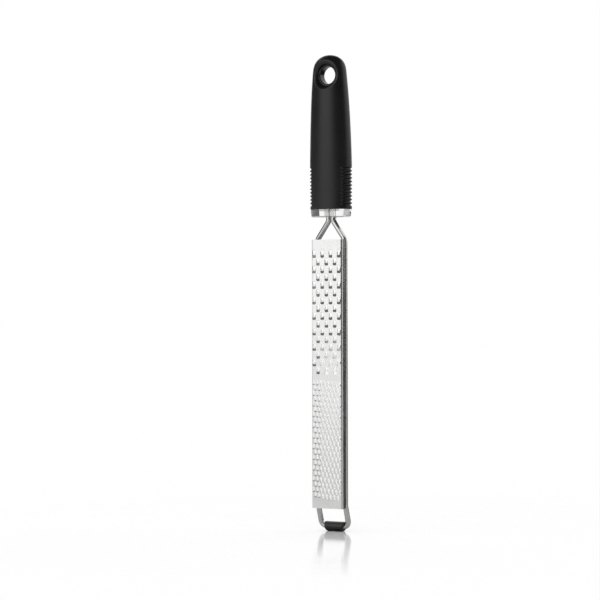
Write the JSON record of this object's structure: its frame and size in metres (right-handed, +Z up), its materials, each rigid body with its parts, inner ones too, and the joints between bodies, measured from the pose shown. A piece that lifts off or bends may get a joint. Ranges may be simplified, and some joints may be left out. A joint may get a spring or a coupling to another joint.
{
  "type": "rasp zester",
  "caption": "Upright kitchen rasp: channel-shaped blade with a coarse and a fine zone, on a bent wire frame with a rubber foot, a clear collar and a soft grip with a hanging hole.",
  "frame": {"origin": "on the floor, under the centre line of the handle and of the blade's rails, at the lowest line of the foot sleeve", "axes": "+Z up along the tool from foot to hanging hole, -Y the way the cutting face looks, +X to the right as seen from in front of the cutting face"},
  "size_m": [0.0316, 0.0222, 0.332],
  "materials": {
    "soft_grip": "matt soft-touch rubber, moulded",
    "handle_core": "smooth hard plastic",
    "collar": "clear, polished plastic ring",
    "wire": "polished stainless wire",
    "blade": "satin stainless sheet",
    "foot_sleeve": "smooth rubber tube"
  },
  "bodies": {
    "root": {"soft_grip": "soft_grip", "handle_core": "handle_core", "collar": "collar", "wire_frame": "wire", "blade": "blade", "foot_sleeve": "foot_sleeve"}
  },
  "joints": []
}
